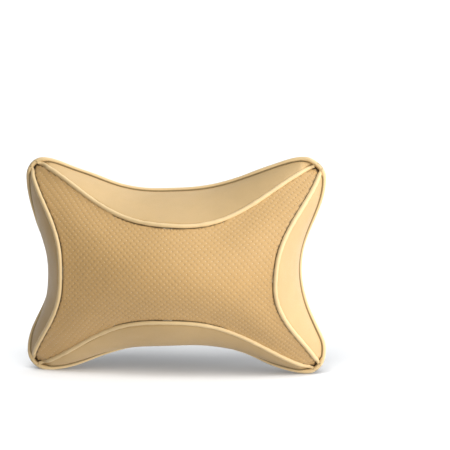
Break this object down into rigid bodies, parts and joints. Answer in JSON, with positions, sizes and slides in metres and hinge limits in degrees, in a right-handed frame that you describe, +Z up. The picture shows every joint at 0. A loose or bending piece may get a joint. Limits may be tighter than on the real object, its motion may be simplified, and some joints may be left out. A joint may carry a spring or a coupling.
{
  "type": "neck pillow",
  "caption": "Bone-shaped car headrest neck pillow: perforated leather face, piped side gussets, zipped back and adjustable elastic strap.",
  "frame": {"origin": "bottom centre of the whole object's box, under the middle of the pillow, where it stands on its two lower corners", "axes": "+Z up, +X to the right seen from the front, -Y out of the perforated face, +Y out of the back towards the headrest"},
  "size_m": [0.2808, 0.1215, 0.2018],
  "materials": {
    "perforated_leather": "fine grain, evenly perforated, satin",
    "smooth_leather": "smooth, satin",
    "piping_leather": "smooth, semi-gloss",
    "lining_fabric": "plain non-woven",
    "polyester_fibre": "loose fibre",
    "elastic_webbing": "ribbed elastic webbing",
    "moulded_plastic": "satin",
    "zip_tape": "woven tape",
    "zip_nylon": "satin coil",
    "zip_metal": "antique, satin"
  },
  "bodies": {
    "cover": {"face_panel": "perforated_leather", "gusset_top": "smooth_leather", "gusset_bottom": "smooth_leather", "gusset_left": "smooth_leather", "gusset_right": "smooth_leather", "back_panel_upper": "smooth_leather", "back_panel_lower": "smooth_leather", "piping_rim": "piping_leather", "piping_face_top": "piping_leather", "piping_face_bottom": "piping_leather", "piping_face_left": "piping_leather", "piping_face_right": "piping_leather", "inner_bag_front": "lining_fabric", "inner_bag_back": "lining_fabric", "filling": "polyester_fibre", "zip_tape_upper": "zip_tape", "zip_tape_lower": "zip_tape", "zip_coil_upper": "zip_nylon", "zip_coil_lower": "zip_nylon", "zip_stop_closed": "zip_metal", "zip_stop_open": "zip_metal", "strap_band": "elastic_webbing", "strap_return": "elastic_webbing", "strap_anchor_loop": "elastic_webbing", "strap_ring": "moulded_plastic"},
    "zip_slider": {"zip_slider": "zip_metal"},
    "pull_tab": {"zip_pull_tab": "zip_metal"},
    "strap_slider": {"strap_slider": "moulded_plastic", "strap_end_fold": "elastic_webbing"}
  },
  "joints": [
    {"name": "zip_slide", "type": "slide", "parent": "cover", "child": "zip_slider", "axis": [1, 0, 0], "range_m": [0, 0.172]},
    {"name": "pull_tab_hinge", "type": "hinge", "parent": "zip_slider", "child": "pull_tab", "pos_m": [-0.086, 0.04465, 0.073], "axis": [0, 0, 1], "range_deg": [0, 180]},
    {"name": "strap_adjust", "type": "slide", "parent": "cover", "child": "strap_slider", "axis": [1, 0, 0], "range_m": [-0.04, 0.018], "deforming": ["strap_return"]}
  ]
}
